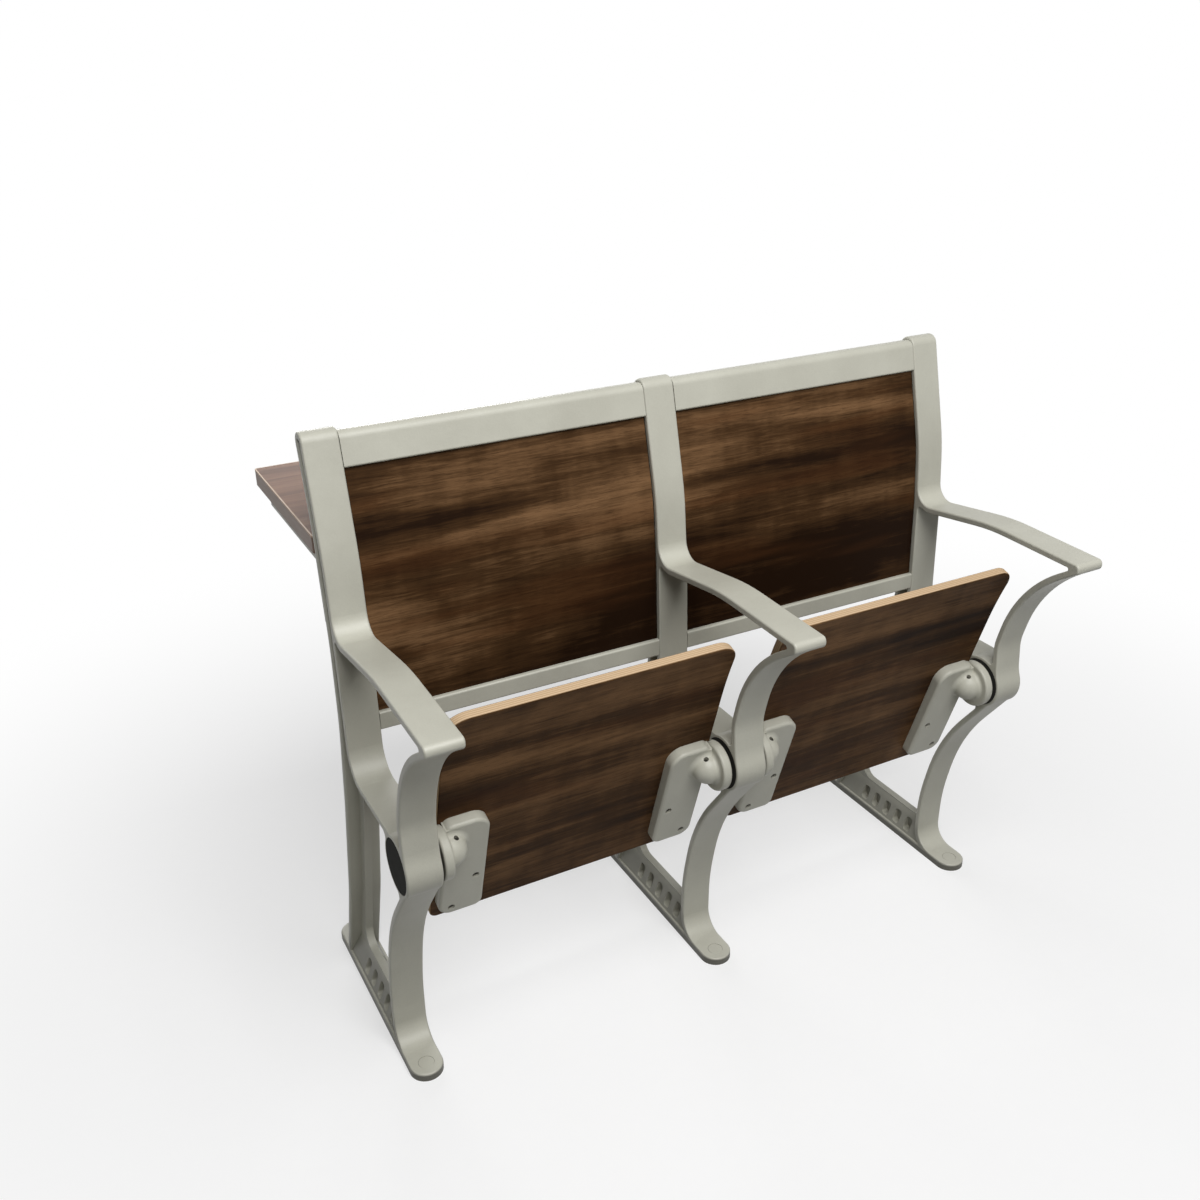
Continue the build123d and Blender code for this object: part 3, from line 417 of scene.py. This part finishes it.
def walnut(settings):
    """Walnut laminate on a back panel."""
    graph = paints("walnut_laminate")
    wood, rough, height = walnut_grain(graph, graph.place(), settings)
    return graph.finish(Base_Color=wood, Roughness=rough, Normal=graph.bump(height, WOOD_DEPTH),
                        Specular_IOR_Level=WOOD_SPECULAR)


def seat_plywood(settings, edge):
    """Walnut laminate on the faces of a seat board and bare plies on its edge."""
    graph = paints("seat_plywood")
    place = graph.place()
    wood, rough, height = walnut_grain(graph, place, settings)
    out = Vector((0, -cos(edge.lean), -sin(edge.lean)))
    up = Vector((0, -sin(edge.lean), cos(edge.lean)))
    hub = Vector((0, SEAT_JOINT[1], SEAT_JOINT[2]))
    bent = (place.dot(up) - (hub.dot(up) + edge.bend_start)).over(0)
    flat = place.dot(out) - hub.dot(out) + edge.drop + edge.board
    depth = flat - bent * bent * (1 / (2 * edge.bend))
    turn = (depth * (edge.plies / edge.board) * pi).wave()
    fleck = graph.grain(place, 260.0, 900.0, 3.0, 0.6)
    ply = turn.step(-0.35, 0.35) * 0.75 + fleck.swing() * 0.5
    bare = graph.mix(ply, colour(edge.light), colour(edge.dark))
    glue = 1 - abs(turn).step(0.0, 0.30)
    bare = graph.mix(glue * 0.35, bare, colour(edge.glue))
    inside = edge.board / 2 - abs(depth - edge.board / 2)
    skin = inside.step(edge.skin * 0.8, edge.skin * 1.2)
    rim = (1 - abs(graph.facing().dot(out)).step(0.88, 0.93)) * skin
    return graph.finish(Base_Color=graph.mix(rim, wood, bare), Roughness=rough + rim * 0.2,
                        Normal=graph.bump(height, WOOD_DEPTH), Specular_IOR_Level=WOOD_SPECULAR)


def desk_laminate(settings):
    """Reddish brown laminate of the desk top, with a plain sheet on the underside."""
    graph = paints("desk_laminate")
    place = graph.place()
    dark = colour(settings.dark)
    broad = graph.grain(place, 2.0, 26.0, 4.0, 0.55, 0.6)
    fine = graph.grain(place, 14.0, 420.0, 3.0, 0.65)
    stops = [(0.36, dark), (0.50, colour(settings.body)), (0.66, colour(settings.light))]
    top = graph.ramp(broad * 0.75 + fine * 0.25, stops)
    fleck = graph.noise(place.times(BACKING_FLECKS), detail=3.0, roughness=0.6)
    backing = graph.mix(fleck.swing() * 0.5 + 0.15, colour(settings.backing), dark)
    under = (0 - graph.facing().dot(UP)).step(0.4, 0.6)
    rough = settings.gloss + fine.swing() * 0.15
    return graph.finish(Base_Color=graph.mix(under, top, backing), Roughness=rough,
                        Normal=graph.bump(fine, LAMINATE_DEPTH), Specular_IOR_Level=WOOD_SPECULAR)


def edge_band(settings, top):
    """Edging of the desk, with a pale line where it meets the laminate."""
    graph = paints("desk_edging")
    place = graph.place()
    fine = graph.noise(place.times(EDGE_FIBRES), detail=3.0, roughness=0.65)
    side = graph.mix(fine.swing() * 0.6 + 0.25, colour(settings.edge), colour(settings.dark))
    start, full = EDGE_LINE
    pale = place.dot(UP).step(top - start, top - full)
    rough = settings.edge_gloss + fine.swing() * 0.2
    return graph.finish(Base_Color=graph.mix(pale, side, colour(settings.line)), Roughness=rough)


def moulded(name, base, roughness):
    """Moulded plastic or rubber with a fine spark-eroded grain."""
    graph = paints(name)
    place = graph.place()
    grain = graph.noise(place.times(MOULD_GRAIN), detail=2.0)
    scuff = graph.noise(place.times(SCUFFS), detail=4.0, roughness=0.6)
    tint = graph.mix(scuff.step(0.5, 0.75) * 0.12, colour(base), SCUFFED)
    rough = roughness + scuff.swing() * 0.2
    return graph.finish(Base_Color=tint, Roughness=rough, Normal=graph.bump(grain, MOULD_DEPTH),
                        Specular_IOR_Level=MATT_SPECULAR)


def turned_steel(name, base, worn, metallic, roughness):
    """Plated or blackened steel with fine turning marks."""
    graph = paints(name)
    turned = graph.grain(graph.place(), 900.0, 120.0, 3.0)
    tint = graph.mix(turned.swing() * 0.8 + 0.2, colour(base), worn)
    rough = roughness + turned.swing() * 0.2
    return graph.finish(Base_Color=tint, Roughness=rough, Metallic=metallic)


def dress(names, material):
    """Gives CAD nodes one material in all their slots."""
    for name in names:
        slots = NODES[name].data.materials
        slots.clear()
        slots.append(material)


def named(*endings):
    """Names of the CAD nodes with the given endings."""
    return [name for name in NODES if name.endswith(endings)]


class BENCH_OT_castings(Operator):
    """Paint the standards, rails, seat brackets, desk arms and foot plugs"""
    bl_idname = "bench.castings"
    bl_label = "Castings and rails"

    def execute(self, context):
        paint = cast_paint(context.scene.bench_paint)
        dress(named("_standard", "_rail", "_bracket", "desk_arm", "foot_plugs"), paint)
        return {"FINISHED"}


class BENCH_OT_backs(Operator):
    """Give the back panels their walnut laminate"""
    bl_idname = "bench.backs"
    bl_label = "Back panels"

    def execute(self, context):
        dress(named("back_panel"), walnut(context.scene.bench_walnut))
        return {"FINISHED"}


class BENCH_OT_seats(Operator):
    """Give the seat boards their laminate and bare plywood edges"""
    bl_idname = "bench.seats"
    bl_label = "Seat boards"

    def execute(self, context):
        scene = context.scene
        dress(named("seat_board"), seat_plywood(scene.bench_walnut, scene.bench_edge))
        return {"FINISHED"}


class BENCH_OT_desk(Operator):
    """Give the writing desk its laminate and edging"""
    bl_idname = "bench.desk"
    bl_label = "Writing desk"

    def execute(self, context):
        settings = context.scene.bench_desk
        dress(["desk_board"], desk_laminate(settings))
        dress(["desk_edge_band"], edge_band(settings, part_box("desk_edge_band")[1][2]))
        return {"FINISHED"}


class BENCH_OT_fittings(Operator):
    """Finish the hub caps, bushes, buffers, axles, springs and fasteners"""
    bl_idname = "bench.fittings"
    bl_label = "Hub fittings and fasteners"

    def execute(self, context):
        settings = context.scene.bench_fittings
        dress(named("hub_cap"), moulded("cap_plastic", settings.black, settings.cap_gloss))
        dress(named("_buffers"), moulded("buffer_rubber", settings.black, settings.rubber_gloss))
        dress(named("_bush"), moulded("bush_nylon", settings.nylon, settings.nylon_gloss))
        rough = settings.steel_gloss
        zinc = turned_steel("plated_steel", settings.steel, WORN_ZINC, 0.9, rough)
        dress(named("_axle", "_spring", "rail_screws", "desk_screws", "_bolts", "_nuts"), zinc)
        black = turned_steel("black_steel", settings.dark_steel, WORN_BLACK, 0.4, rough)
        dress(named("seat_screws", "set_screws"), black)
        return {"FINISHED"}


def shown(graph):
    """1 for rays that show the background: straight, mirrored or through glass."""
    kinds = ("Camera", "Glossy", "Transmission")
    path = [graph.node("ShaderNodeLightPath", output=f"Is {kind} Ray") for kind in kinds]
    return path[0].over(path[1]).over(path[2])


def floor_material(settings):
    """Pale floor that keeps the bench's shadow, and turns white further out."""
    graph = paints("studio_floor")
    place = graph.place()
    grain = graph.noise(place.times(FLOOR_GRAIN), detail=3.0)
    seen = shown(graph)
    away = place.vector("LENGTH", output="Value").step(settings.clear * 0.3, settings.clear)
    white = (settings.lift + away * (1 - settings.lift)) * seen
    glow = graph.node("ShaderNodeEmission", None, {"Color": WHITE, "Strength": 1.0})
    tint = graph.mix(seen - grain * 0.04, colour(settings.bounce), colour(settings.floor))
    matt = {"Base Color": tint, "Roughness": 1.0, "Specular IOR Level": 0.0}
    pale = graph.node("ShaderNodeBsdfPrincipled", None, matt)
    both = graph.node("ShaderNodeMixShader", None, {0: white, 1: pale, 2: glow})
    graph.node("ShaderNodeOutputMaterial", None, {"Surface": both})
    return graph.owner


def sky(settings):
    """Even studio light that shows as white."""
    graph = Graph(bpy.data.worlds.new("studio_sky"))
    light, white = [graph.node("ShaderNodeBackground", None, {"Color": WHITE, "Strength": strength})
                    for strength in (settings.sky, 1.0)]
    both = graph.node("ShaderNodeMixShader", None, {0: shown(graph), 1: light, 2: white})
    graph.node("ShaderNodeOutputWorld", None, {"Surface": both})
    return graph.owner


def softbox(name, power, spot, target, size):
    """A square area light that looks at a target."""
    data = bpy.data.lights.new(name, "AREA")
    data.size = size
    data.energy = power
    lamp = bpy.data.objects.new(name, data)
    lamp.location = spot
    lamp.rotation_euler = (Vector(target) - Vector(spot)).to_track_quat("-Z", "Y").to_euler()
    bpy.context.scene.collection.objects.link(lamp)


class BENCH_OT_studio(Operator):
    """Build the floor, the light and the camera"""
    bl_idname = "bench.studio"
    bl_label = "Studio"

    def execute(self, context):
        settings = context.scene.bench_studio
        mesh = bpy.data.meshes.new("studio_floor")
        corners = [(x * FLOOR_HALF, y * FLOOR_HALF, 0)
                   for x, y in ((-1, -1), (1, -1), (1, 1), (-1, 1))]
        mesh.from_pydata(corners, [], [(0, 1, 2, 3)])
        mesh.materials.append(floor_material(settings))
        floor = bpy.data.objects.new("studio_floor", mesh)
        context.scene.collection.objects.link(floor)
        context.scene.world = sky(settings)
        softbox("overhead_softbox", settings.key, **KEY_BOX)
        softbox("rear_softbox", settings.back, **REAR_BOX)
        self.camera(context, settings)
        context.scene.view_settings.view_transform = "Standard"
        return {"FINISHED"}

    def camera(self, context, settings):
        """Camera from its position and turns."""
        level = cos(settings.pitch)
        ahead = Vector((sin(settings.yaw) * level, cos(settings.yaw) * level, sin(settings.pitch)))
        right = Vector((cos(settings.yaw), -sin(settings.yaw), 0))
        up = right.cross(ahead)
        side = cos(settings.roll) * right + sin(settings.roll) * up
        top = -sin(settings.roll) * right + cos(settings.roll) * up
        data = bpy.data.cameras.new("photo_camera")
        data.lens = settings.lens
        data.sensor_width = SENSOR
        eye = bpy.data.objects.new("photo_camera", data)
        turn = Matrix((side, top, -ahead)).transposed().to_4x4()
        eye.matrix_world = Matrix.Translation(settings.eye) @ turn
        context.scene.collection.objects.link(eye)
        context.scene.camera = eye


STEPS = (
    BENCH_OT_castings,
    BENCH_OT_backs,
    BENCH_OT_seats,
    BENCH_OT_desk,
    BENCH_OT_fittings,
    BENCH_OT_studio,
)
GROUPS = {
    "bench_paint": CastPaint,
    "bench_walnut": Walnut,
    "bench_edge": PlyEdge,
    "bench_desk": DeskTop,
    "bench_fittings": Fittings,
    "bench_studio": Studio,
}


class BENCH_PT_finish(Panel):
    """Sidebar panel with the bench's pieces and their settings"""
    bl_idname = "BENCH_PT_finish"
    bl_label = "Lecture bench"
    bl_space_type = "VIEW_3D"
    bl_region_type = "UI"
    bl_category = "Bench"

    def draw(self, context):
        for step in STEPS:
            self.layout.operator(step.bl_idname)
        for group in GROUPS:
            box = self.layout.box()
            settings = getattr(context.scene, group)
            for name in settings.bl_rna.properties.keys():
                if name not in ("rna_type", "name"):
                    box.prop(settings, name)


def register():
    """Adds the classes and their settings."""
    for name, group in GROUPS.items():
        bpy.utils.register_class(group)
        setattr(bpy.types.Scene, name, PointerProperty(type=group))
    for cls in (*STEPS, BENCH_PT_finish):
        bpy.utils.register_class(cls)


def unregister():
    """Takes the classes and their settings away."""
    for cls in (BENCH_PT_finish, *reversed(STEPS)):
        bpy.utils.unregister_class(cls)
    for name, group in GROUPS.items():
        delattr(bpy.types.Scene, name)
        bpy.utils.unregister_class(group)


def main():
    """Dresses the bench piece by piece."""
    register()
    bpy.ops.bench.castings()
    bpy.ops.bench.backs()
    bpy.ops.bench.seats()
    bpy.ops.bench.desk()
    bpy.ops.bench.fittings()
    bpy.ops.bench.studio()


if __name__ == "__main__":
    main()
